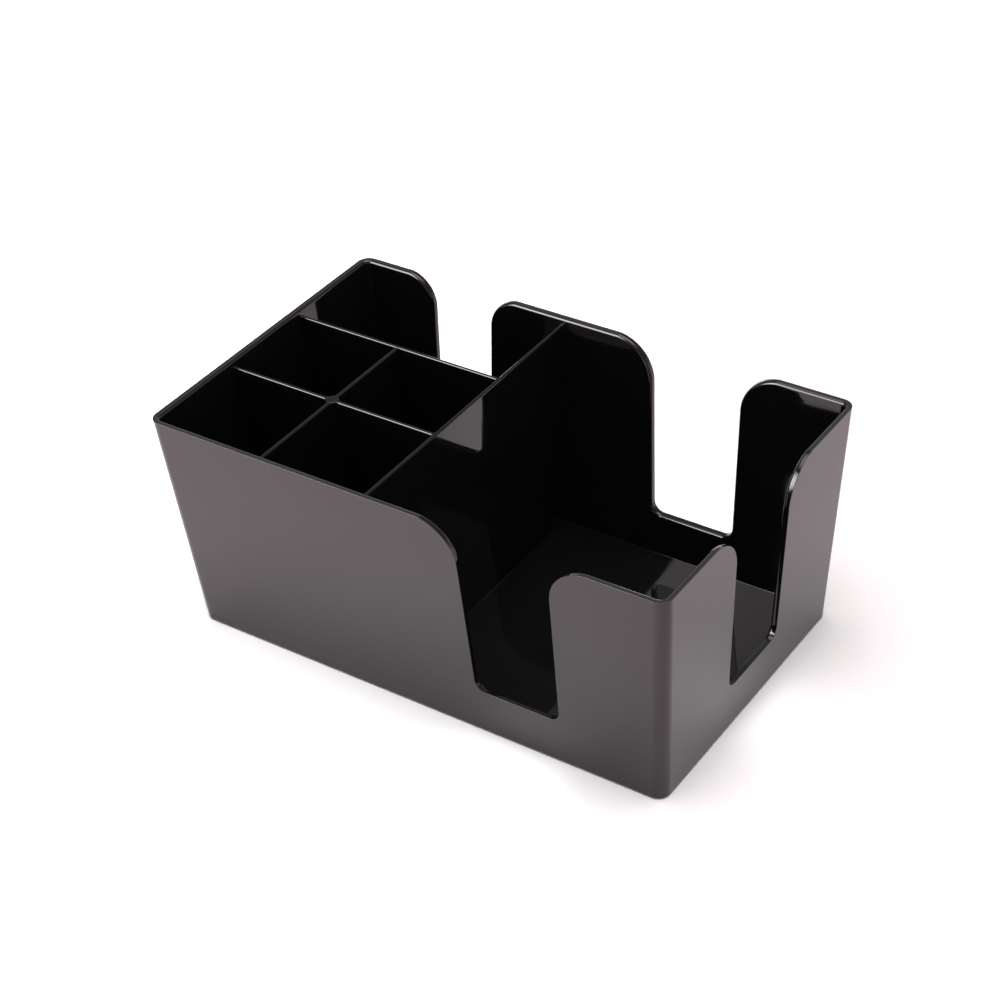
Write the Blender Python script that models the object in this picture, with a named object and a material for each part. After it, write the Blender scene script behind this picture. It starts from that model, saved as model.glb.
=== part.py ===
"""A bar caddy: a drafted tub with finger cut-outs, four dividers, a crossing post and four soft feet.

Metres, +Z up. The caddy stands on z = 0, its napkin bay at +X and its front wall at -Y.
"""

import math

import bmesh
import bpy
from mathutils import Matrix, Vector

# Tub, with its outside length and width taken at the rim
LENGTH = 0.2400
WIDTH = 0.1470
HEIGHT = 0.1029
BASE_INSET = 0.0067
CORNER_RADIUS = 0.0054
WALL = 0.0028
FLOOR = 0.0022
RIM_ROUND = 0.0012

# Compartments, measured at the rim, and the cells, measured between the dividers' middles
NAPKIN_BAY_LENGTH = 0.1321
STRAW_TROUGH_WIDTH = 0.0464
CELL_LENGTH = 0.0507
CELL_WIDTH = 0.0454

# Finger cut-outs: each has a flat sill, sides that lean outwards and rounded shoulders
SILL_HEIGHT = 0.0219
SILL_CORNER_RADIUS = 0.0050
CUT_LEAN = math.radians(1.15)
NAPKIN_CUT_WIDTH = 0.0387
NAPKIN_CUT_X = 0.0489
END_CUT_WIDTH = 0.0381
NAPKIN_SHOULDER_RADIUS = 0.0185
STRAW_CUT_WIDTH = 0.0267
STRAW_CUT_X = -0.0669
STRAW_SHOULDER_RADIUS = 0.0144

# Dividers, held between guide beads on the walls and in grooves in the floor
DIVIDER = 0.0016
DIVIDER_DROP = 0.0030
DIVIDER_ROUND = 0.0005
BEAD_RADIUS = 0.0009
BEAD_CLEARANCE = 0.00035
BEAD_DROP = 0.0010
GROOVE_DEPTH = 0.0008
LAP_HEIGHT = 0.0516

# Post on the crossing of the two cell dividers
POST_RADIUS = 0.0027
POST_CAP = 0.0020

# Feet, each in a round socket under the floor
FOOT_RADIUS = 0.0060
FOOT_PROUD = 0.0004
FOOT_EDGE_ROUND = 0.0002
FOOT_SOCKET_DEPTH = 0.0011
FOOT_FROM_EDGE = 0.0140

# Fits, and the overlap that a cut or a join needs to be clean
CLEARANCE = 0.0003
OVERLAP = 0.0005
OVERRUN = 0.0100
SHOULDER_LIFT = 0.0001
ON_SURFACE = 1e-6

FLOOR_TOP = FOOT_PROUD + FLOOR
DIVIDER_TOP = HEIGHT - DIVIDER_DROP
DIVIDER_BASE = FLOOR_TOP - GROOVE_DEPTH + CLEARANCE
SLOT = DIVIDER + 2 * CLEARANCE
BEAD_OFFSET = DIVIDER / 2 + BEAD_CLEARANCE + BEAD_RADIUS
MAIN_X = LENGTH / 2 - WALL - NAPKIN_BAY_LENGTH - DIVIDER / 2
STRAW_Y = WIDTH / 2 - WALL - STRAW_TROUGH_WIDTH - DIVIDER / 2
CROSS_X = MAIN_X - CELL_LENGTH
LONG_Y = STRAW_Y - CELL_WIDTH


def half_length(z):
    """Outer half length of the tub at height z."""
    return LENGTH / 2 - BASE_INSET * (HEIGHT - z) / (HEIGHT - FOOT_PROUD)


def half_width(z):
    """Outer half width of the tub at height z."""
    return WIDTH / 2 - BASE_INSET * (HEIGHT - z) / (HEIGHT - FOOT_PROUD)


def inner_x(z):
    return half_length(z) - WALL


def inner_y(z):
    return half_width(z) - WALL


def clear_scene():
    for thing in list(bpy.data.objects):
        bpy.data.objects.remove(thing)


def new_collection(name):
    collection = bpy.data.collections.new(name)
    bpy.context.scene.collection.children.link(collection)
    return collection


def new_material(name, colour, roughness):
    material = bpy.data.materials.new(name)
    material.use_nodes = True
    shader = material.node_tree.nodes["Principled BSDF"]
    shader.inputs["Base Color"].default_value = (*colour, 1)
    shader.inputs["Roughness"].default_value = roughness
    shader.inputs["Metallic"].default_value = 0
    return material


def mesh_object(name, bm, collection, material=None):
    mesh = bpy.data.meshes.new(name)
    bmesh.ops.recalc_face_normals(bm, faces=bm.faces)
    bm.to_mesh(mesh)
    bm.free()
    obj = bpy.data.objects.new(name, mesh)
    collection.objects.link(obj)
    if material:
        mesh.materials.append(material)
    return obj


def cutter_object(name, bm):
    obj = mesh_object(name, bm, CUTTERS)
    obj.hide_render = True
    obj.display_type = "WIRE"
    return obj


def add_boolean(obj, tool, operation="DIFFERENCE"):
    boolean = obj.modifiers.new(tool.name, "BOOLEAN")
    boolean.object = tool
    boolean.operation = operation


def evaluated_bmesh(obj):
    """The object's shape after its modifiers, as a bmesh. The object itself is removed."""
    bpy.context.view_layer.update()
    graph = bpy.context.evaluated_depsgraph_get()
    mesh = bpy.data.meshes.new_from_object(obj.evaluated_get(graph))
    bm = bmesh.new()
    bm.from_mesh(mesh)
    bpy.data.meshes.remove(mesh)
    bpy.data.objects.remove(obj)
    return bm


def block(low, high):
    """A box between two corners."""
    bm = bmesh.new()
    bmesh.ops.create_cube(bm, size=1)
    for vert in bm.verts:
        vert.co = [low[i] if vert.co[i] < 0 else high[i] for i in range(3)]
    return bm


def rod(start, end, radius, segments=16):
    """A round bar between two points."""
    start, end = Vector(start), Vector(end)
    turn = (end - start).to_track_quat("Z", "Y").to_matrix().to_4x4()
    bm = bmesh.new()
    bmesh.ops.create_cone(
        bm,
        cap_ends=True,
        segments=segments,
        radius1=radius,
        radius2=radius,
        depth=(end - start).length,
        matrix=Matrix.Translation((start + end) / 2) @ turn,
    )
    return bm


def joined(pieces):
    """Several bmeshes as one, for a tool with many separate bodies."""
    whole = bmesh.new()
    scratch = bpy.data.meshes.new("scratch")
    for piece in pieces:
        piece.to_mesh(scratch)
        piece.free()
        whole.from_mesh(scratch)
    bpy.data.meshes.remove(scratch)
    return whole


def drafted_block(inset, low, high, radius, segments=8):
    """A block that follows the tub's lean, set in from its outside, with rounded upright edges."""
    bm = block((-1, -1, low), (1, 1, high))
    for vert in bm.verts:
        vert.co.x *= half_length(vert.co.z) - inset
        vert.co.y *= half_width(vert.co.z) - inset
    upright = [e for e in bm.edges if abs(e.verts[0].co.z - e.verts[1].co.z) > (high - low) / 2]
    bmesh.ops.bevel(bm, geom=upright, offset=radius, segments=segments, profile=0.5, affect="EDGES")
    return bm


def arc(centre, radius, start, end, steps):
    """Points of an arc in the plane of the wall, its angles in degrees."""
    for step in range(steps + 1):
        angle = math.radians(start + (end - start) * step / steps)
        yield (centre[0] + radius * math.cos(angle), centre[1] + radius * math.sin(angle))


def cut_outline(sill_width, shoulder_radius):
    """Right half of a finger cut-out, from the middle of its sill up past the rim."""
    lean = math.degrees(CUT_LEAN)
    sill_corner = (
        sill_width / 2 - SILL_CORNER_RADIUS / math.tan(math.pi / 4 + CUT_LEAN / 2),
        SILL_HEIGHT + SILL_CORNER_RADIUS,
    )
    shoulder_z = HEIGHT + SHOULDER_LIFT - shoulder_radius
    side_at_shoulder = sill_width / 2 + (shoulder_z - SILL_HEIGHT) * math.tan(CUT_LEAN)
    shoulder = (side_at_shoulder + shoulder_radius / math.cos(CUT_LEAN), shoulder_z)
    points = [*arc(sill_corner, SILL_CORNER_RADIUS, -90, -lean, 6)]
    points += arc(shoulder, shoulder_radius, 180 - lean, 90, 14)
    points.append((shoulder[0], HEIGHT + OVERRUN))
    return points


def cut_tool(name, sill_width, shoulder_radius, depth):
    """The solid that a finger cut-out takes away: its outline stands in XZ, drawn out along Y."""
    right = cut_outline(sill_width, shoulder_radius)
    outline = right + [(-x, z) for x, z in reversed(right)]
    curve = bpy.data.curves.new(name, "CURVE")
    curve.dimensions = "2D"
    curve.fill_mode = "BOTH"
    curve.extrude = depth / 2
    spline = curve.splines.new("POLY")
    spline.points.add(len(outline) - 1)
    for point, (x, z) in zip(spline.points, outline):
        point.co = (x, z, 0, 1)
    spline.use_cyclic_u = True
    flat = bpy.data.objects.new(name, curve)
    CUTTERS.objects.link(flat)
    bm = evaluated_bmesh(flat)
    bmesh.ops.remove_doubles(bm, verts=bm.verts, dist=ON_SURFACE)
    bmesh.ops.rotate(bm, verts=bm.verts, matrix=Matrix.Rotation(math.pi / 2, 3, "X"))
    return cutter_object(name, bm)


def tub_cutters():
    """The four finger cut-outs, as three tools: one goes through the front and the back wall."""
    through_one = 2 * (BASE_INSET + WALL + OVERRUN)
    napkin = cut_tool("napkin_cut", NAPKIN_CUT_WIDTH, NAPKIN_SHOULDER_RADIUS, WIDTH + 2 * OVERRUN)
    napkin.location.x = NAPKIN_CUT_X
    end = cut_tool("end_cut", END_CUT_WIDTH, NAPKIN_SHOULDER_RADIUS, through_one)
    end.rotation_euler.z = math.pi / 2
    end.location.x = LENGTH / 2
    straw = cut_tool("straw_cut", STRAW_CUT_WIDTH, STRAW_SHOULDER_RADIUS, through_one)
    straw.location = (STRAW_CUT_X, WIDTH / 2, 0)
    return napkin, end, straw


def is_inner_wall(face):
    """Whether a face of the tub belongs to the inside of its walls or of their rounded corners."""
    centre = face.calc_center_median()
    gap_x = inner_x(centre.z) - abs(centre.x)
    gap_y = inner_y(centre.z) - abs(centre.y)
    if abs(face.normal.z) > 0.5 or centre.z < FLOOR_TOP:
        return False
    in_corner = max(gap_x, gap_y) < CORNER_RADIUS - WALL and face.normal.xy.dot(centre.xy) < 0
    return in_corner or min(abs(gap_x), abs(gap_y)) < ON_SURFACE


def round_rim(bm):
    """Rounds the inner edge of the rim and of every cut-out."""
    inner = {face for face in bm.faces if is_inner_wall(face)}
    open_edges = [e for e in bm.edges if len(inner.intersection(e.link_faces)) == 1]
    edges = [e for e in open_edges if min(v.co.z for v in e.verts) > FLOOR_TOP + WALL]
    bmesh.ops.bevel(bm, geom=edges, offset=RIM_ROUND, segments=3, profile=0.5, affect="EDGES")


def wall_beads():
    """Pairs of half-round beads down the inside of the walls, one each side of a divider's end."""
    low, high = FLOOR_TOP - OVERLAP, DIVIDER_TOP - BEAD_DROP
    beads = []
    for side in (-1, 1):
        shift = side * BEAD_OFFSET
        for end in (-1, 1):
            x = MAIN_X + shift
            beads.append(rod((x, end * inner_y(low), low), (x, end * inner_y(high), high), BEAD_RADIUS))
        x = CROSS_X + shift
        beads.append(rod((x, -inner_y(low), low), (x, -inner_y(high), high), BEAD_RADIUS))
        for row in (STRAW_Y, LONG_Y):
            y = row + shift
            beads.append(rod((-inner_x(low), y, low), (-inner_x(high), y, high), BEAD_RADIUS))
    return joined(beads)


def floor_grooves():
    """The grooves in the floor that the dividers stand in."""
    low, high = FLOOR_TOP - GROOVE_DEPTH, FLOOR_TOP + OVERLAP
    left, end = inner_x(DIVIDER_BASE), inner_y(DIVIDER_BASE)
    side = SLOT / 2
    yield "main_groove", block((MAIN_X - side, -end, low), (MAIN_X + side, end, high))
    yield "straw_groove", block((-left, STRAW_Y - side, low), (MAIN_X, STRAW_Y + side, high))
    yield "long_groove", block((-left, LONG_Y - side, low), (MAIN_X, LONG_Y + side, high))
    yield "cross_groove", block((CROSS_X - side, -end, low), (CROSS_X + side, STRAW_Y, high))


def foot_centres():
    """Name and place of each foot, set in from the edges of the underside."""
    x = half_length(FOOT_PROUD) - FOOT_FROM_EDGE
    y = half_width(FOOT_PROUD) - FOOT_FROM_EDGE
    for end, across in (("front", -y), ("back", y)):
        for side, along in (("left", -x), ("right", x)):
            yield f"foot_{end}_{side}", along, across


def make_tub(material):
    rough = mesh_object("rough_tub", drafted_block(0, FOOT_PROUD, HEIGHT, CORNER_RADIUS), CUTTERS)
    cavity = drafted_block(WALL, FLOOR_TOP, HEIGHT + OVERRUN, CORNER_RADIUS - WALL)
    add_boolean(rough, cutter_object("cavity", cavity))
    for tool in tub_cutters():
        add_boolean(rough, tool)
    bm = evaluated_bmesh(rough)
    bm.normal_update()
    round_rim(bm)
    tub = mesh_object("tub", bm, CADDY, material)
    add_boolean(tub, cutter_object("wall_beads", wall_beads()), "UNION")
    for name, groove in floor_grooves():
        add_boolean(tub, cutter_object(name, groove))
    sockets = [
        rod((x, y, -OVERLAP), (x, y, FOOT_PROUD + FOOT_SOCKET_DEPTH), FOOT_RADIUS + CLEARANCE, 32)
        for _, x, y in foot_centres()
    ]
    add_boolean(tub, cutter_object("foot_sockets", joined(sockets)))


def plate(name, material, x_ends, y_ends):
    """An upright divider. Each end is a function of height, so that it can follow a leaning wall."""
    bm = block((-1, -1, DIVIDER_BASE), (1, 1, DIVIDER_TOP))
    for vert in bm.verts:
        vert.co.x = x_ends[vert.co.x > 0](vert.co.z)
        vert.co.y = y_ends[vert.co.y > 0](vert.co.z)
    top = [e for e in bm.edges if min(v.co.z for v in e.verts) > HEIGHT / 2 and e.calc_length() > SLOT]
    bmesh.ops.bevel(bm, geom=top, offset=DIVIDER_ROUND, segments=3, profile=0.5, affect="EDGES")
    return mesh_object(name, bm, CADDY, material)


def faces_of(place):
    """The two sides of a divider whose middle is at place."""
    return (lambda z: place - DIVIDER / 2), (lambda z: place + DIVIDER / 2)


def to_left_wall(z):
    return -inner_x(z) + CLEARANCE


def to_front_wall(z):
    return -inner_y(z) + CLEARANCE


def to_back_wall(z):
    return inner_y(z) - CLEARANCE


def to_main_divider(z):
    return MAIN_X - DIVIDER / 2 - CLEARANCE


def to_straw_divider(z):
    return STRAW_Y - DIVIDER / 2 - CLEARANCE


def divider_beads(places):
    """Guide beads on a divider's own face, which hold the end of the divider that meets it."""
    low, high = FLOOR_TOP + CLEARANCE, DIVIDER_TOP - BEAD_DROP
    return joined([rod((x, y, low), (x, y, high), BEAD_RADIUS) for x, y in places])


def make_main_divider(material):
    divider = plate("main_divider", material, faces_of(MAIN_X), (to_front_wall, to_back_wall))
    face = MAIN_X - DIVIDER / 2
    places = [(face, row + side * BEAD_OFFSET) for row in (STRAW_Y, LONG_Y) for side in (-1, 1)]
    add_boolean(divider, cutter_object("main_divider_beads", divider_beads(places)), "UNION")


def make_straw_divider(material):
    divider = plate("straw_divider", material, (to_left_wall, to_main_divider), faces_of(STRAW_Y))
    face = STRAW_Y - DIVIDER / 2
    places = [(CROSS_X + side * BEAD_OFFSET, face) for side in (-1, 1)]
    add_boolean(divider, cutter_object("straw_divider_beads", divider_beads(places)), "UNION")


def make_cell_dividers(material):
    """The two that cross: the long one is slotted from above, the cross one from below."""
    side, reach, above = SLOT / 2, POST_RADIUS + CLEARANCE, DIVIDER_TOP + OVERRUN
    under_cap = DIVIDER_TOP - POST_CAP - CLEARANCE
    long_cell = plate("long_cell_divider", material, (to_left_wall, to_main_divider), faces_of(LONG_Y))
    slot = block((CROSS_X - side, LONG_Y - reach, LAP_HEIGHT), (CROSS_X + side, LONG_Y + reach, above))
    add_boolean(long_cell, cutter_object("long_slot", slot))
    cross = plate("cross_cell_divider", material, faces_of(CROSS_X), (to_front_wall, to_straw_divider))
    slot = block(
        (CROSS_X - reach, LONG_Y - side, DIVIDER_BASE - OVERRUN),
        (CROSS_X + reach, LONG_Y + side, LAP_HEIGHT + CLEARANCE),
    )
    add_boolean(cross, cutter_object("cross_slot", slot))
    cap_room = block((CROSS_X - reach, LONG_Y - reach, under_cap), (CROSS_X + reach, LONG_Y + reach, above))
    cap_tool = cutter_object("cap_room", cap_room)
    add_boolean(long_cell, cap_tool)
    add_boolean(cross, cap_tool)


def make_post(material):
    """A round post slotted from below, which slides down over the crossing. Its cap stays whole."""
    bar = rod((CROSS_X, LONG_Y, FLOOR_TOP + CLEARANCE), (CROSS_X, LONG_Y, DIVIDER_TOP), POST_RADIUS, 32)
    post = mesh_object("crossing_post", bar, CADDY, material)
    side, reach, low, high = SLOT / 2, 2 * POST_RADIUS, FLOOR_TOP - OVERLAP, DIVIDER_TOP - POST_CAP
    along_x = block((CROSS_X - reach, LONG_Y - side, low), (CROSS_X + reach, LONG_Y + side, high))
    along_y = block((CROSS_X - side, LONG_Y - reach, low), (CROSS_X + side, LONG_Y + reach, high))
    add_boolean(post, cutter_object("post_slot_x", along_x))
    add_boolean(post, cutter_object("post_slot_y", along_y))
    return post


def make_foot(name, x, y, material):
    bm = rod((0, 0, 0), (0, 0, FOOT_PROUD + FOOT_SOCKET_DEPTH - CLEARANCE), FOOT_RADIUS, 32)
    lower = [e for e in bm.edges if max(v.co.z for v in e.verts) < FOOT_EDGE_ROUND]
    bmesh.ops.bevel(bm, geom=lower, offset=FOOT_EDGE_ROUND, segments=2, profile=0.5, affect="EDGES")
    foot = mesh_object(name, bm, CADDY, material)
    foot.location = (x, y, 0)
    return foot


clear_scene()
CADDY = new_collection("bar_caddy")
CUTTERS = new_collection("cutters")
black_plastic = new_material("black_plastic", (0.012, 0.012, 0.012), 0.12)
divider_plastic = new_material("divider_plastic", (0.012, 0.012, 0.012), 0.14)
foot_rubber = new_material("foot_rubber", (0.02, 0.02, 0.02), 0.7)

make_tub(black_plastic)
make_main_divider(divider_plastic)
make_straw_divider(divider_plastic)
make_cell_dividers(divider_plastic)
round_pieces = [make_post(divider_plastic)]
round_pieces += [make_foot(name, x, y, foot_rubber) for name, x, y in foot_centres()]
for piece in round_pieces:
    piece.data.shade_smooth()
    piece.data.set_sharp_from_angle(angle=math.radians(35))
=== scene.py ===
"""The looks of a bar caddy: a polished black tub, its dividers, the post where two cross, its feet.

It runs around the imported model, in metres: the napkin bay is at +X, the front wall at -Y, and the
top of the table at z = 0.
"""

import math

import bmesh
import bpy
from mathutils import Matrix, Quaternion, Vector


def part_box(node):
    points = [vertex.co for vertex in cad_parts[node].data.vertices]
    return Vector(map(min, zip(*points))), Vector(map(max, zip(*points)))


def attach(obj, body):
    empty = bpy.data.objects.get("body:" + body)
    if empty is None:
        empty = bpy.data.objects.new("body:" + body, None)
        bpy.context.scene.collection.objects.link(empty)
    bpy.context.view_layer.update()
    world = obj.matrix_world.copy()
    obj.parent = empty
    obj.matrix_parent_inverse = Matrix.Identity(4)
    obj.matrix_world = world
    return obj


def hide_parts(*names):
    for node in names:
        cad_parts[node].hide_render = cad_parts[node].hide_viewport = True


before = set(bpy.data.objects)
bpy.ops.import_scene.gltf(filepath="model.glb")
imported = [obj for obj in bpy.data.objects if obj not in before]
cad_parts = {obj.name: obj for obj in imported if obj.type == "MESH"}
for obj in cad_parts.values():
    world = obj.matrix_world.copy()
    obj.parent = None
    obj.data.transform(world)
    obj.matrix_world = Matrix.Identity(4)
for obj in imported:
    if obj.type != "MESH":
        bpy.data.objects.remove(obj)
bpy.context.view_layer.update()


# The tub is one injection moulding of black styrene, polished in the mould. Its walls lean out so
# that it draws off the core, and the inside of its rim is rounded over. Finger cut-outs run down to
# a low sill in the front, the back and the right end, with a narrower one behind the straws.
TUB_LOW, TUB_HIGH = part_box("tub")
WALL = 0.0028
FLOOR = 0.0022
FLOOR_TOP = TUB_LOW.z + FLOOR
BASE_INSET = 0.0067
CORNER_RADIUS = 0.0054
CORNER_STEPS = 14
BASE_ROUND = 0.0007
BASE_STEPS = 4
INNER_DRAFT = math.radians(0.25)
FLOOR_FILLET = 0.0002
FLOOR_FILLET_STEPS = 4
RIM_ROUND = 0.0014
RIM_STEPS = 7
RIM_EDGE = 0.00015
RIM_EDGE_STEPS = 3
CUT_LEAN = math.radians(1.15)
SILL_HEIGHT = 0.0219
SILL_CORNER = 0.0050
SILL_CORNER_STEPS = 12
SHOULDER_STEPS = 28
SHOULDER_LIFT = 0.0001
NAPKIN_CUT = {"width": 0.0387, "shoulder": 0.0185}
END_CUT = {"width": 0.0381, "shoulder": 0.0185}
STRAW_CUT = {"width": 0.0267, "shoulder": 0.0144}
NAPKIN_CUT_X = 0.0489
STRAW_CUT_X = -0.0669
SOCKET_GAP = 0.0003
SOCKET_SIDES = 48
OVERRUN = 0.0100
TINY = 0.00001
FACES_UP = 0.9
QUARTER_ROUND = 0.5
SHARP_FROM = math.radians(35)
# These mark the faces that the rim's edges lie between, until the tub gets its one plastic.
OUTSIDE, INSIDE, CUT = (bpy.data.materials.new(name) for name in ("outside", "inside", "cut"))


def outer_sizes(z):
    """Half the tub's length and width at height z."""
    lean = BASE_INSET * (TUB_HIGH.z - z) / (TUB_HIGH.z - TUB_LOW.z)
    return TUB_HIGH.x - lean, TUB_HIGH.y - lean


def inner_sizes(z):
    """The same between the insides of its walls, which grow a little thicker towards the floor."""
    thickness = WALL + (TUB_HIGH.z - z) * math.tan(INNER_DRAFT)
    return [half - thickness for half in outer_sizes(z)]


def new_object(name, data):
    """An object of a mesh, a lamp or a camera, put into the scene."""
    made = bpy.data.objects.new(name, data)
    bpy.context.scene.collection.objects.link(made)
    return made


def new_piece(name, bm, material=None):
    """A mesh object of the finished form, with its faces turned outwards."""
    mesh = bpy.data.meshes.new(name)
    bmesh.ops.recalc_face_normals(bm, faces=bm.faces)
    bm.to_mesh(mesh)
    bm.free()
    if material:
        mesh.materials.append(material)
    return new_object(name, mesh)


def round_edges(bm, edges, width, steps):
    """Rounds edges over by a quarter of a circle."""
    bmesh.ops.bevel(
        bm, geom=edges, offset=width, segments=steps, profile=QUARTER_ROUND, affect="EDGES"
    )


def leaning_block(half_sizes, low, high, corner, foot, foot_steps):
    """A block of half sizes that change with height, its upright edges and its foot rounded."""
    bm = bmesh.new()
    bmesh.ops.create_cube(bm, size=2)
    for vert in bm.verts:
        z = high if vert.co.z > 0 else low
        half_x, half_y = half_sizes(z)
        vert.co = (half_x * vert.co.x, half_y * vert.co.y, z)
    upright = [edge for edge in bm.edges if abs(edge.verts[0].co.z - edge.verts[1].co.z) > TINY]
    round_edges(bm, upright, corner, CORNER_STEPS)
    lowest = [edge for edge in bm.edges if all(vert.co.z < low + TINY for vert in edge.verts)]
    round_edges(bm, lowest, foot, foot_steps)
    return bm


def arc(centre, radius, start, end, steps):
    """Points of an arc, its angles in degrees."""
    for step in range(steps + 1):
        angle = math.radians(start + (end - start) * step / steps)
        yield centre[0] + radius * math.cos(angle), centre[1] + radius * math.sin(angle)


def finger_cut(width, shoulder):
    """The solid that a finger cut-out takes away: 1 m long from XZ along Y, centred on x = 0."""
    lean = math.degrees(CUT_LEAN)
    sill_x = width / 2 - SILL_CORNER / math.tan(math.pi / 4 + CUT_LEAN / 2)
    sill_corner = (sill_x, SILL_HEIGHT + SILL_CORNER)
    shoulder_z = TUB_HIGH.z + SHOULDER_LIFT - shoulder
    side_x = width / 2 + (shoulder_z - SILL_HEIGHT) * math.tan(CUT_LEAN)
    shoulder_x = side_x + shoulder / math.cos(CUT_LEAN)
    right = list(arc(sill_corner, SILL_CORNER, -90, -lean, SILL_CORNER_STEPS))
    right += arc((shoulder_x, shoulder_z), shoulder, 180 - lean, 90, SHOULDER_STEPS)
    right.append((shoulder_x, TUB_HIGH.z + OVERRUN))
    left = [(-x, z) for x, z in reversed(right)]
    bm = bmesh.new()
    face = bm.faces.new([bm.verts.new((x, 0, z)) for x, z in right + left])
    drawn = bmesh.ops.extrude_face_region(bm, geom=[face])
    moved = [part for part in drawn["geom"] if isinstance(part, bmesh.types.BMVert)]
    bmesh.ops.translate(bm, verts=moved, vec=(0, 1, 0))
    return bm


def place_cut(name, sizes, start, end):
    """A cutting tool: a finger cut-out's solid, stood between two points on the table."""
    start, end = Vector(start), Vector(end)
    bm = finger_cut(**sizes)
    bmesh.ops.scale(bm, verts=bm.verts, vec=(1, (end - start).length, 1))
    tool = new_piece(name, bm, CUT)
    tool.rotation_euler.z = math.atan2(end.y - start.y, end.x - start.x) - math.pi / 2
    tool.location = start
    return tool


def foot_socket(node):
    """A cutting tool: the round recess under the floor for a foot."""
    low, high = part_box(node)
    radius = (high.x - low.x) / 2 + SOCKET_GAP
    sizes = {"radius1": radius, "radius2": radius, "depth": 2 * high.z}
    bm = bmesh.new()
    bmesh.ops.create_cone(bm, cap_ends=True, segments=SOCKET_SIDES, **sizes)
    middle = ((low.x + high.x) / 2, (low.y + high.y) / 2, 0)
    bmesh.ops.translate(bm, verts=bm.verts, vec=middle)
    return new_piece("socket", bm, OUTSIDE)


def cut_away(piece, tools):
    """Takes the tools away from the piece. A cut face keeps its tool's material."""
    for tool in tools:
        boolean = piece.modifiers.new(tool.name, "BOOLEAN")
        boolean.object = tool
        boolean.material_mode = "TRANSFER"
    bpy.context.view_layer.update()
    graph = bpy.context.evaluated_depsgraph_get()
    mesh = bpy.data.meshes.new_from_object(piece.evaluated_get(graph))
    piece.modifiers.clear()
    piece.data = mesh
    for tool in tools:
        bpy.data.objects.remove(tool)


def round_rim(piece):
    """Rounds the rim and the cut-outs, amply along the inner edge, barely along the outer one."""
    kinds = {slot.material: index for index, slot in enumerate(piece.material_slots)}
    bm = bmesh.new()
    bm.from_mesh(piece.data)
    bm.normal_update()
    for face in bm.faces:
        if face.normal.z > FACES_UP and face.calc_center_median().z > TUB_HIGH.z - TINY:
            face.material_index = kinds[CUT]
    between = {}
    for edge in bm.edges:
        key = frozenset(face.material_index for face in edge.link_faces)
        between.setdefault(key, []).append(edge)
    round_edges(bm, between[frozenset((kinds[CUT], kinds[INSIDE]))], RIM_ROUND, RIM_STEPS)
    round_edges(bm, between[frozenset((kinds[CUT], kinds[OUTSIDE]))], RIM_EDGE, RIM_EDGE_STEPS)
    bm.to_mesh(piece.data)
    bm.free()


def finish_mesh(piece, material):
    """Gives the piece its one material, and shading that keeps flat faces flat to their edges."""
    piece.data.materials.clear()
    piece.data.materials.append(material)
    piece.data.polygons.foreach_set("material_index", [0] * len(piece.data.polygons))
    piece.data.shade_smooth()
    piece.data.set_sharp_from_angle(angle=SHARP_FROM)
    weighted = piece.modifiers.new("flat faces", "WEIGHTED_NORMAL")
    weighted.keep_sharp = True


class Socket:
    """An output in a node tree. Arithmetic that is written with it becomes Math nodes."""

    def __init__(self, tree, output=None):
        self.tree = tree
        self.output = output

    def node(self, kind, settings=None, inputs=None, output=0):
        """A new node: its type, its settings, set first, and its sockets' values or links."""
        made = self.tree.nodes.new("ShaderNode" + kind)
        for name, value in (settings or {}).items():
            if name == "stops":
                set_stops(made.color_ramp, value)
            else:
                setattr(made, name, value)
        for name, value in (inputs or {}).items():
            if isinstance(value, Socket):
                self.tree.links.new(value.output, made.inputs[name])
            else:
                made.inputs[name].default_value = value
        return Socket(self.tree, made.outputs[output] if len(made.outputs) else None)

    def math(self, operation, first, second):
        """A Math node of two numbers."""
        return self.node("Math", {"operation": operation}, {0: first, 1: second})

    def __add__(self, other):
        return self.math("ADD", self, other)

    def __sub__(self, other):
        return self.math("SUBTRACT", self, other)

    def __rsub__(self, other):
        return self.math("SUBTRACT", other, self)

    def __mul__(self, other):
        return self.math("MULTIPLY", self, other)

    def __truediv__(self, other):
        return self.math("DIVIDE", self, other)

    def __rtruediv__(self, other):
        return self.math("DIVIDE", other, self)

    __radd__ = __add__
    __rmul__ = __mul__


def set_stops(ramp, stops):
    """Gives a colour ramp its stops, each a place and a grey."""
    while len(ramp.elements) < len(stops):
        ramp.elements.new(1)
    for element, (place, level) in zip(ramp.elements, stops):
        element.position = place
        element.color = grey(level)


def grey(level):
    """A colour of the same red, green and blue."""
    return (level, level, level, 1)


def mixed(share, first, second, blend="MIX"):
    """A colour: the first where the share is 0, and the second, or their blend, where it is 1."""
    settings = {"data_type": "RGBA", "blend_type": blend}
    return share.node("Mix", settings, {0: share, 6: first, 7: second}, output=2)


def new_tree(owner):
    """An empty node tree on a material, a world or a lamp, as a Socket to make nodes from."""
    owner.use_nodes = True
    owner.node_tree.nodes.clear()
    return Socket(owner.node_tree)


CLEAN_BLACK = (0.0048, 0.0048, 0.0046, 1)
SMEARED_BLACK = (0.0068, 0.0066, 0.0063, 1)
# The rim's flat top is lighter: partly scuffs, partly a painted sheen for the light it mirrors.
SCUFFED_AND_SHEEN_BLACK = (0.026, 0.025, 0.025, 1)
SMEAR_STOPS = [(0.42, 0), (0.72, 1)]
SMEAR_SHARE = 0.6
SCUFF_AND_SHEEN_DEPTH = 0.0003
SCUFF_AND_SHEEN_FADE = 0.0002
# The roughness of clean polish, what smears and specks add to it, and how strong the surface's two
# waves are: a slow one from the plastic's flow in the mould, and a fine peel.
POLISH = 0.02
SMEAR_DULLS = 0.03
SPECKS_DULL = 0.02
FLOW_WAVES = 5
FINE_PEEL = 0.02


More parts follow.
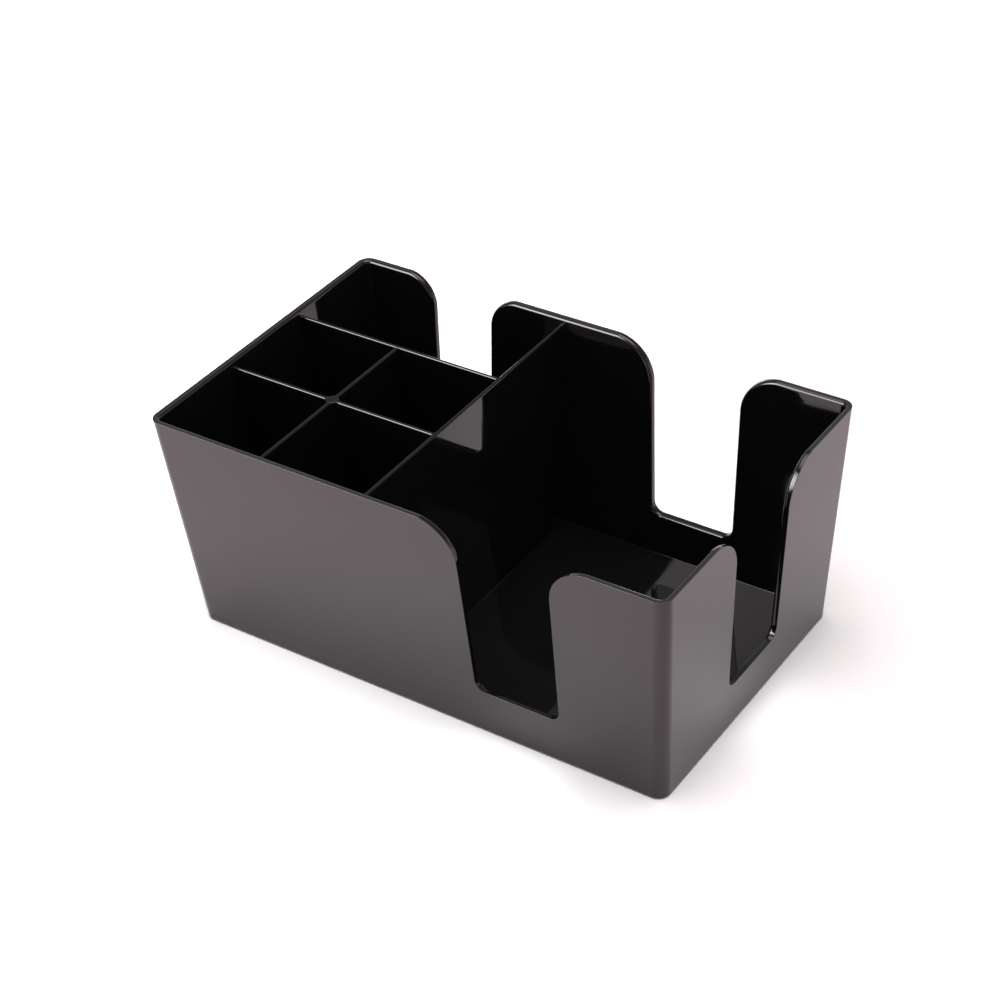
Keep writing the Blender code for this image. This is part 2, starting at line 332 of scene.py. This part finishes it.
def polished_plastic(name, scuffed_and_sheen_above):
    """Black plastic, polished nearly to a mirror, faintly smeared, and lighter above a height,
    where it is scuffed and has a painted sheen.
    """
    material = bpy.data.materials.new(name)
    tree = new_tree(material)
    place = tree.node("TexCoord", output="Object")
    height = tree.node("SeparateXYZ", None, {0: place}, output="Z")
    cloudy = {"Vector": place, "Scale": 38, "Detail": 5, "Roughness": 0.6, "Distortion": 0.8}
    clouds = tree.node("TexNoise", None, cloudy)
    smear = tree.node("ValToRGB", {"stops": SMEAR_STOPS}, {"Fac": clouds})
    specks = tree.node("TexNoise", None, {"Vector": place, "Scale": 1400, "Detail": 2})
    flow = tree.node("TexNoise", None, {"Vector": place, "Scale": 30, "Detail": 1})
    peel = tree.node("TexNoise", None, {"Vector": place, "Scale": 420, "Detail": 1})
    relief = flow * FLOW_WAVES + peel * FINE_PEEL
    colour = mixed(smear * SMEAR_SHARE, CLEAN_BLACK, SMEARED_BLACK)
    plastic = {
        # Lighter above a height: scuffs, and a painted sheen on the rim's flat top.
        "Base Color": mixed((height - scuffed_and_sheen_above) / SCUFF_AND_SHEEN_FADE, colour, SCUFFED_AND_SHEEN_BLACK),
        "Roughness": POLISH + smear * SMEAR_DULLS + specks * SPECKS_DULL,
        "IOR": 1.5,
        "Specular Tint": (1, 0.88, 0.92, 1),
        "Normal": tree.node("Bump", None, {"Strength": 0.06, "Distance": 0.0004, "Height": relief}),
    }
    tree.node("OutputMaterial", None, {"Surface": tree.node("BsdfPrincipled", None, plastic)})
    return material


def fit(piece, slot, *nodes):
    """Sets the piece on the caddy in place of its plain solids."""
    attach(piece, "root")
    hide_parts(*nodes)


solid = leaning_block(outer_sizes, TUB_LOW.z, TUB_HIGH.z, CORNER_RADIUS, BASE_ROUND, BASE_STEPS)
hollow_top, hollow_corner = TUB_HIGH.z + OVERRUN, CORNER_RADIUS - WALL
hollow = leaning_block(
    inner_sizes, FLOOR_TOP, hollow_top, hollow_corner, FLOOR_FILLET, FLOOR_FILLET_STEPS
)
out_x, out_y = TUB_HIGH.x + OVERRUN, TUB_HIGH.y + OVERRUN
in_x, in_y = (half - OVERRUN for half in outer_sizes(TUB_LOW.z))
feet = sorted(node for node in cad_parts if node.startswith("foot_"))
tub = new_piece("tub_shell", solid, OUTSIDE)
cut_tools = [
    new_piece("hollow", hollow, INSIDE),
    place_cut("napkin_cut", NAPKIN_CUT, (NAPKIN_CUT_X, -out_y, 0), (NAPKIN_CUT_X, out_y, 0)),
    place_cut("end_cut", END_CUT, (in_x, 0, 0), (out_x, 0, 0)),
    place_cut("straw_cut", STRAW_CUT, (STRAW_CUT_X, in_y, 0), (STRAW_CUT_X, out_y, 0)),
    *(foot_socket(node) for node in feet),
]
cut_away(tub, cut_tools)
round_rim(tub)
# The scuffs and painted sheen cover the rim's flat top.
finish_mesh(tub, polished_plastic("tub_plastic", TUB_HIGH.z - SCUFF_AND_SHEEN_DEPTH))
fit(tub, "body_plastic", "tub")


# The dividers are thin upright walls of the same plastic, a little lower than the rim, with rounded
# top edges. They look moulded in one with the tub: small fillets take their ends into the walls and
# their feet into the floor.
DIVIDER = 0.0016
DIVIDER_DRAFT = math.radians(0.25)
TOP_ROUND = 0.00075
END_FILLET = 0.0005
FOOT_FILLET = 0.0004
BITE = 0.0002
QUARTER_STEPS = 6
QUARTER_TURN = [math.radians(90 * step / QUARTER_STEPS) for step in range(QUARTER_STEPS + 1)]
DIVIDER_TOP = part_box("main_divider")[1].z
MAIN_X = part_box("main_divider")[1].x - DIVIDER / 2
STRAW_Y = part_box("straw_divider")[1].y - DIVIDER / 2
LONG_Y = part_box("long_cell_divider")[1].y - DIVIDER / 2
CROSS_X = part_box("cross_cell_divider")[1].x - DIVIDER / 2
divider_plastic = polished_plastic("divider_plastic", TUB_HIGH.z)


def skin(rows):
    """A closed mesh over rows of points, all of the same number, from one end to the other."""
    bm = bmesh.new()
    rings = [[bm.verts.new(point) for point in row] for row in rows]
    for lower, upper in zip(rings, rings[1:]):
        for i in range(len(lower)):
            bm.faces.new((lower[i - 1], lower[i], upper[i], upper[i - 1]))
    bm.faces.new(rings[0])
    bm.faces.new(rings[-1])
    return bm


def moulded_levels(top, top_round, foot_fillet):
    """Heights from the floor to the top, each with how far the outline is drawn in there."""
    yield FLOOR_TOP - BITE, -foot_fillet
    for turn in QUARTER_TURN:
        yield FLOOR_TOP + foot_fillet * (1 - math.cos(turn)), -foot_fillet * (1 - math.sin(turn))
    for turn in QUARTER_TURN:
        yield top - top_round * (1 - math.sin(turn)), top_round * (1 - math.cos(turn))


def flared_outline(low, high, half, flare):
    """Plan of a divider along U from low to high: straight, flaring out to the wall at each end."""
    rise = [
        (flare * (1 - math.sin(turn)), half + flare * (1 - math.cos(turn))) for turn in QUARTER_TURN
    ]
    upper = [(high - u, v) for u, v in reversed(rise)] + [(low + u, v) for u, v in rise]
    return upper + [(u, -v) for u, v in reversed(upper)]


def half_thickness(z):
    """Half a divider's thickness at height z, which grows a little towards the floor."""
    return DIVIDER / 2 + (DIVIDER_TOP - z) * math.tan(DIVIDER_DRAFT)


def left_wall(z):
    """Where the inside of the tub's left wall is at height z."""
    return -inner_sizes(z)[0]


def front_wall(z):
    """The same for its front wall."""
    return -inner_sizes(z)[1]


def back_wall(z):
    """The same for its back wall."""
    return inner_sizes(z)[1]


def main_face(z):
    """The main divider's side towards the cells."""
    return MAIN_X - half_thickness(z)


def straw_face(z):
    """The straw divider's side, but clear of its rounded top, which the cross one doesn't break."""
    return STRAW_Y - half_thickness(z) - max(z - DIVIDER_TOP + TOP_ROUND, 0)


def divider(name, node, place, ends, along_x):
    """A divider in place of a node. Its ends are functions of height, because walls lean."""
    rows = []
    for z, inset in moulded_levels(DIVIDER_TOP, TOP_ROUND, FOOT_FILLET):
        low, high = ends[0](z) - BITE, ends[1](z) + BITE
        outline = flared_outline(low, high, half_thickness(z) - inset, END_FILLET + inset)
        rows.append([(u, place + v, z) if along_x else (place + v, u, z) for u, v in outline])
    piece = new_piece(name, skin(rows))
    finish_mesh(piece, divider_plastic)
    fit(piece, "divider_plastic", node)


divider("main_wall", "main_divider", MAIN_X, (front_wall, back_wall), along_x=False)
divider("straw_wall", "straw_divider", STRAW_Y, (left_wall, main_face), along_x=True)
divider("long_cell_wall", "long_cell_divider", LONG_Y, (left_wall, main_face), along_x=True)
divider("cross_cell_wall", "cross_cell_divider", CROSS_X, (front_wall, straw_face), along_x=False)


# The post stands where the two cell dividers cross. It is a slim round column of the same plastic,
# which runs into the dividers through small fillets. Its flat round top is a hair above them.
POST_RADIUS = 0.0027
POST_FILLET = 0.0008
POST_PROUD = 0.0001
POST_FILLET_STEPS = 5
POST_STEPS = 6


def post_outline(z, inset):
    """Plan of the post at height z: a circle with a short fillet on both sides of each divider."""
    half, fillet = half_thickness(z) - inset, POST_FILLET + inset
    radius = POST_RADIUS - DIVIDER / 2 + half
    reach = math.sqrt((radius + fillet) ** 2 - (half + fillet) ** 2)
    meet = math.degrees(math.atan2(half + fillet, reach))
    quarter = list(arc((reach, half + fillet), fillet, 270, 180 + meet, POST_FILLET_STEPS))
    quarter += arc((0, 0), radius, meet, 90 - meet, POST_STEPS)
    quarter += arc((half + fillet, reach), fillet, 270 - meet, 180, POST_FILLET_STEPS)
    outline = []
    for _ in range(4):
        outline += quarter
        quarter = [(-v, u) for u, v in quarter]
    return outline


post_rows = [
    [(CROSS_X + u, LONG_Y + v, z) for u, v in post_outline(z, inset)]
    for z, inset in moulded_levels(DIVIDER_TOP + POST_PROUD, TOP_ROUND / 2, POST_FILLET / 2)
]
post = new_piece("crossing_boss", skin(post_rows))
finish_mesh(post, divider_plastic)
fit(post, "divider_plastic", "crossing_post")


# Each foot is a disc of matt black rubber, pressed into a round recess under a corner of the floor.
# Its edge is bevelled, and a shallow ring in its face keeps the caddy from sliding on a wet bar.
FOOT_EDGE = 0.0002
FOOT_SIDES = 48
RING_RADIUS = 0.0030
RING_WIDTH = 0.0015
RING_DEPTH = 0.00015
CLEAN_RUBBER = (0.012, 0.012, 0.012, 1)
DUSTY_RUBBER = (0.032, 0.031, 0.030, 1)
RUBBER_MATT = 0.62
DUST_DULLS = 0.2


def soft_rubber():
    """Matt rubber with a fine grain, dustier in patches."""
    material = bpy.data.materials.new("foot_rubber")
    tree = new_tree(material)
    place = tree.node("TexCoord", output="Object")
    dust = tree.node("TexNoise", None, {"Vector": place, "Scale": 260, "Detail": 4})
    grain = tree.node("TexNoise", None, {"Vector": place, "Scale": 2600, "Detail": 2})
    rubber = {
        "Base Color": mixed(dust, CLEAN_RUBBER, DUSTY_RUBBER),
        "Roughness": RUBBER_MATT + dust * DUST_DULLS,
        "Normal": tree.node("Bump", None, {"Strength": 0.35, "Distance": 0.0001, "Height": grain}),
    }
    tree.node("OutputMaterial", None, {"Surface": tree.node("BsdfPrincipled", None, rubber)})
    return material


foot_rubber = soft_rubber()
ring_out, ring_in = RING_RADIUS + RING_WIDTH / 2, RING_RADIUS - RING_WIDTH / 2
for node in feet:
    low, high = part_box(node)
    centre, radius = (low + high) / 2, (high.x - low.x) / 2
    foot_profile = [
        (radius, high.z),
        (radius, low.z + FOOT_EDGE),
        (radius - FOOT_EDGE, low.z),
        (ring_out, 0),
        (ring_out - RING_DEPTH, RING_DEPTH),
        (ring_in + RING_DEPTH, RING_DEPTH),
        (ring_in, 0),
    ]
    foot_rows = []
    for reach, z in foot_profile:
        circle = list(arc((centre.x, centre.y), reach, 0, 360, FOOT_SIDES))[1:]
        foot_rows.append([(x, y, z) for x, y in circle])
    foot = new_piece(node + "_pad", skin(foot_rows))
    finish_mesh(foot, foot_rubber)
    fit(foot, "foot_rubber", node)


# The caddy stands on a plain white table, which keeps its cast shadow. To the camera and in
# reflections it is a whiter white than in the light that it spreads, with a painted pool of light
# towards the front left that fades to painted shade towards the right, which the plastic mirrors.
# It is faintly pink from some way off, and brighter in the distance.
TABLE_SIZE = 8.0
TABLE_PAINT = 0.80
# Painted light and shade: where seen, the white is brightest towards the front left, dimmer to the
# right.
TABLE_PAINTED_LIGHT_POOL = (1.92, 1.86, 1.91, 1)
TABLE_PAINTED_SHADE = (1.13, 1.09, 1.09, 1)
TABLE_PAINTED_LIGHT_WAY = (-0.78, -0.63, 0)
TABLE_PAINTED_SHADE_START = 0.138
TABLE_PAINTED_LIGHT_FADE = 0.25
TABLE_BLUSH = (1.045, 0.965, 0.995, 1)
TABLE_BLUSH_START = 0.12
TABLE_BLUSH_FADE = 0.06
TABLE_LIFT_START = 0.28
TABLE_LIFT = 0.8


def table_white():
    """Matt white paint, of one shade in the light that it spreads and others where it is seen,
    with a painted pool of light and painted shade across it.
    """
    material = bpy.data.materials.new("white_table")
    tree = new_tree(material)
    place = tree.node("TexCoord", output="Object")
    along_way = {0: place, 1: TABLE_PAINTED_LIGHT_WAY}
    along = tree.node("VectorMath", {"operation": "DOT_PRODUCT"}, along_way, output="Value")
    distance = tree.node("VectorMath", {"operation": "LENGTH"}, {0: place}, output="Value")
    # A painted pool of light at the front left, fading to painted shade towards the right.
    shown = mixed((along + TABLE_PAINTED_SHADE_START) / TABLE_PAINTED_LIGHT_FADE, TABLE_PAINTED_SHADE, TABLE_PAINTED_LIGHT_POOL)
    blush = (distance - TABLE_BLUSH_START) / TABLE_BLUSH_FADE
    shown = mixed(blush, shown, TABLE_BLUSH, blend="MULTIPLY")
    lift = tree.math("MAXIMUM", 1 + (distance - TABLE_LIFT_START) * TABLE_LIFT, 1)
    lifted = {0: shown, "Scale": lift}
    shown = tree.node("VectorMath", {"operation": "SCALE"}, lifted, output="Vector")
    seen = tree.node("LightPath", output="Is Camera Ray")
    for ray in ("Is Glossy Ray", "Is Transmission Ray"):
        seen = tree.math("MAXIMUM", seen, tree.node("LightPath", output=ray))
    paint = mixed(seen, grey(TABLE_PAINT), shown)
    tree.node("OutputMaterial", None, {"Surface": tree.node("BsdfDiffuse", None, {"Color": paint})})
    return material


board = bmesh.new()
bmesh.ops.create_grid(board, x_segments=1, y_segments=1, size=TABLE_SIZE / 2)
table_top = new_piece("table_top", board, table_white())


# The room is a white studio. It lights the caddy evenly from all round, and it is white at the
# horizon and dimmer higher up, so that the plastic mirrors a pale room and a darker ceiling.
HORIZON_WHITE = 1.0
HORIZON_TOP = 0.05
UPPER_WHITE = 0.29
UPPER_START = 0.40
world = bpy.data.worlds.new("white_sky")
bpy.context.scene.world = world
tree = new_tree(world)
way = tree.node("TexCoord", output="Generated")
height = tree.node("SeparateXYZ", None, {0: way}, output="Z")
sky_stops = [(HORIZON_TOP, HORIZON_WHITE), (UPPER_START, UPPER_WHITE)]
sky = tree.node("ValToRGB", {"stops": sky_stops}, {"Fac": height})
sky = tree.node("Background", None, {"Color": sky, "Strength": 1})
tree.node("OutputWorld", None, {"Surface": sky})


# Two square softboxes face the caddy. A large one overhead lights it. A second, low at the front
# left, is kept off diffuse surfaces, so it shows only in the polish, as highlights.
OVERHEAD_PLACE = Vector((0.08, 0.03, 1.5))
OVERHEAD_SIZE = 1.8
OVERHEAD_RADIANCE = 4.9
OVERHEAD_COLOUR = (1, 1, 1, 1)
GLEAM_DIRECTION = Vector((-0.4930, -0.6785, 0.5446))
GLEAM_DISTANCE = 1.3
GLEAM_SIZE = 1.2
GLEAM_RADIANCE = 18
GLEAM_COLOUR = (0.92, 1.0, 0.98, 1)


def aim(thing, place, target, roll=0):
    """Puts a lamp or a camera at a place, facing a target."""
    thing.location = place
    thing.rotation_mode = "QUATERNION"
    level = (target - place).to_track_quat("-Z", "Y")
    thing.rotation_quaternion = level @ Quaternion((0, 0, 1), roll)


def soft_lamp(name, place, size, radiance, colour):
    """A softbox aimed at the caddy, brightest in its middle and fading to dark at its edges."""
    lamp = bpy.data.lights.new(name, "AREA")
    lamp.size = size
    lamp.energy = radiance * math.pi * size * size
    tree = new_tree(lamp)
    across = tree.node("NewGeometry", output="Parametric")
    from_middle = {0: across, 1: (2, 2, 0), 2: (-1, -1, 0)}
    out = tree.node("VectorMath", {"operation": "MULTIPLY_ADD"}, from_middle)
    both = {0: out, 1: out}
    squared = tree.node("VectorMath", {"operation": "DOT_PRODUCT"}, both, output="Value")
    cloth = {"Color": colour, "Strength": tree.math("MAXIMUM", 1 - squared, 0)}
    tree.node("OutputLight", None, {"Surface": tree.node("Emission", None, cloth)})
    stand = new_object(name, lamp)
    stand.visible_camera = False
    aim(stand, place, Vector((0, 0, TUB_HIGH.z / 2)))
    return stand


soft_lamp("overhead_lamp", OVERHEAD_PLACE, OVERHEAD_SIZE, OVERHEAD_RADIANCE, OVERHEAD_COLOUR)
gleam_place = GLEAM_DIRECTION * GLEAM_DISTANCE
gleam = soft_lamp("gleam_lamp", gleam_place, GLEAM_SIZE, GLEAM_RADIANCE, GLEAM_COLOUR)
gleam.visible_diffuse = False


# The camera stands to the right of the caddy's front and looks down on it through a long lens, from
# the place that the photograph's straight edges give.
CAMERA_PLACE = Vector((0.45568, -0.62667, 0.62153))
CAMERA_AIM = Vector((-0.00946, 0.00983, 0.04985))
CAMERA_ROLL = math.radians(-3.983)
FOCAL_LENGTH = 84.87
SENSOR_WIDTH = 36
lens = bpy.data.cameras.new("camera")
lens.lens = FOCAL_LENGTH
lens.sensor_width = SENSOR_WIDTH
camera = new_object("camera", lens)
aim(camera, CAMERA_PLACE, CAMERA_AIM, CAMERA_ROLL)
bpy.context.scene.camera = camera
bpy.context.scene.view_settings.view_transform = "Standard"
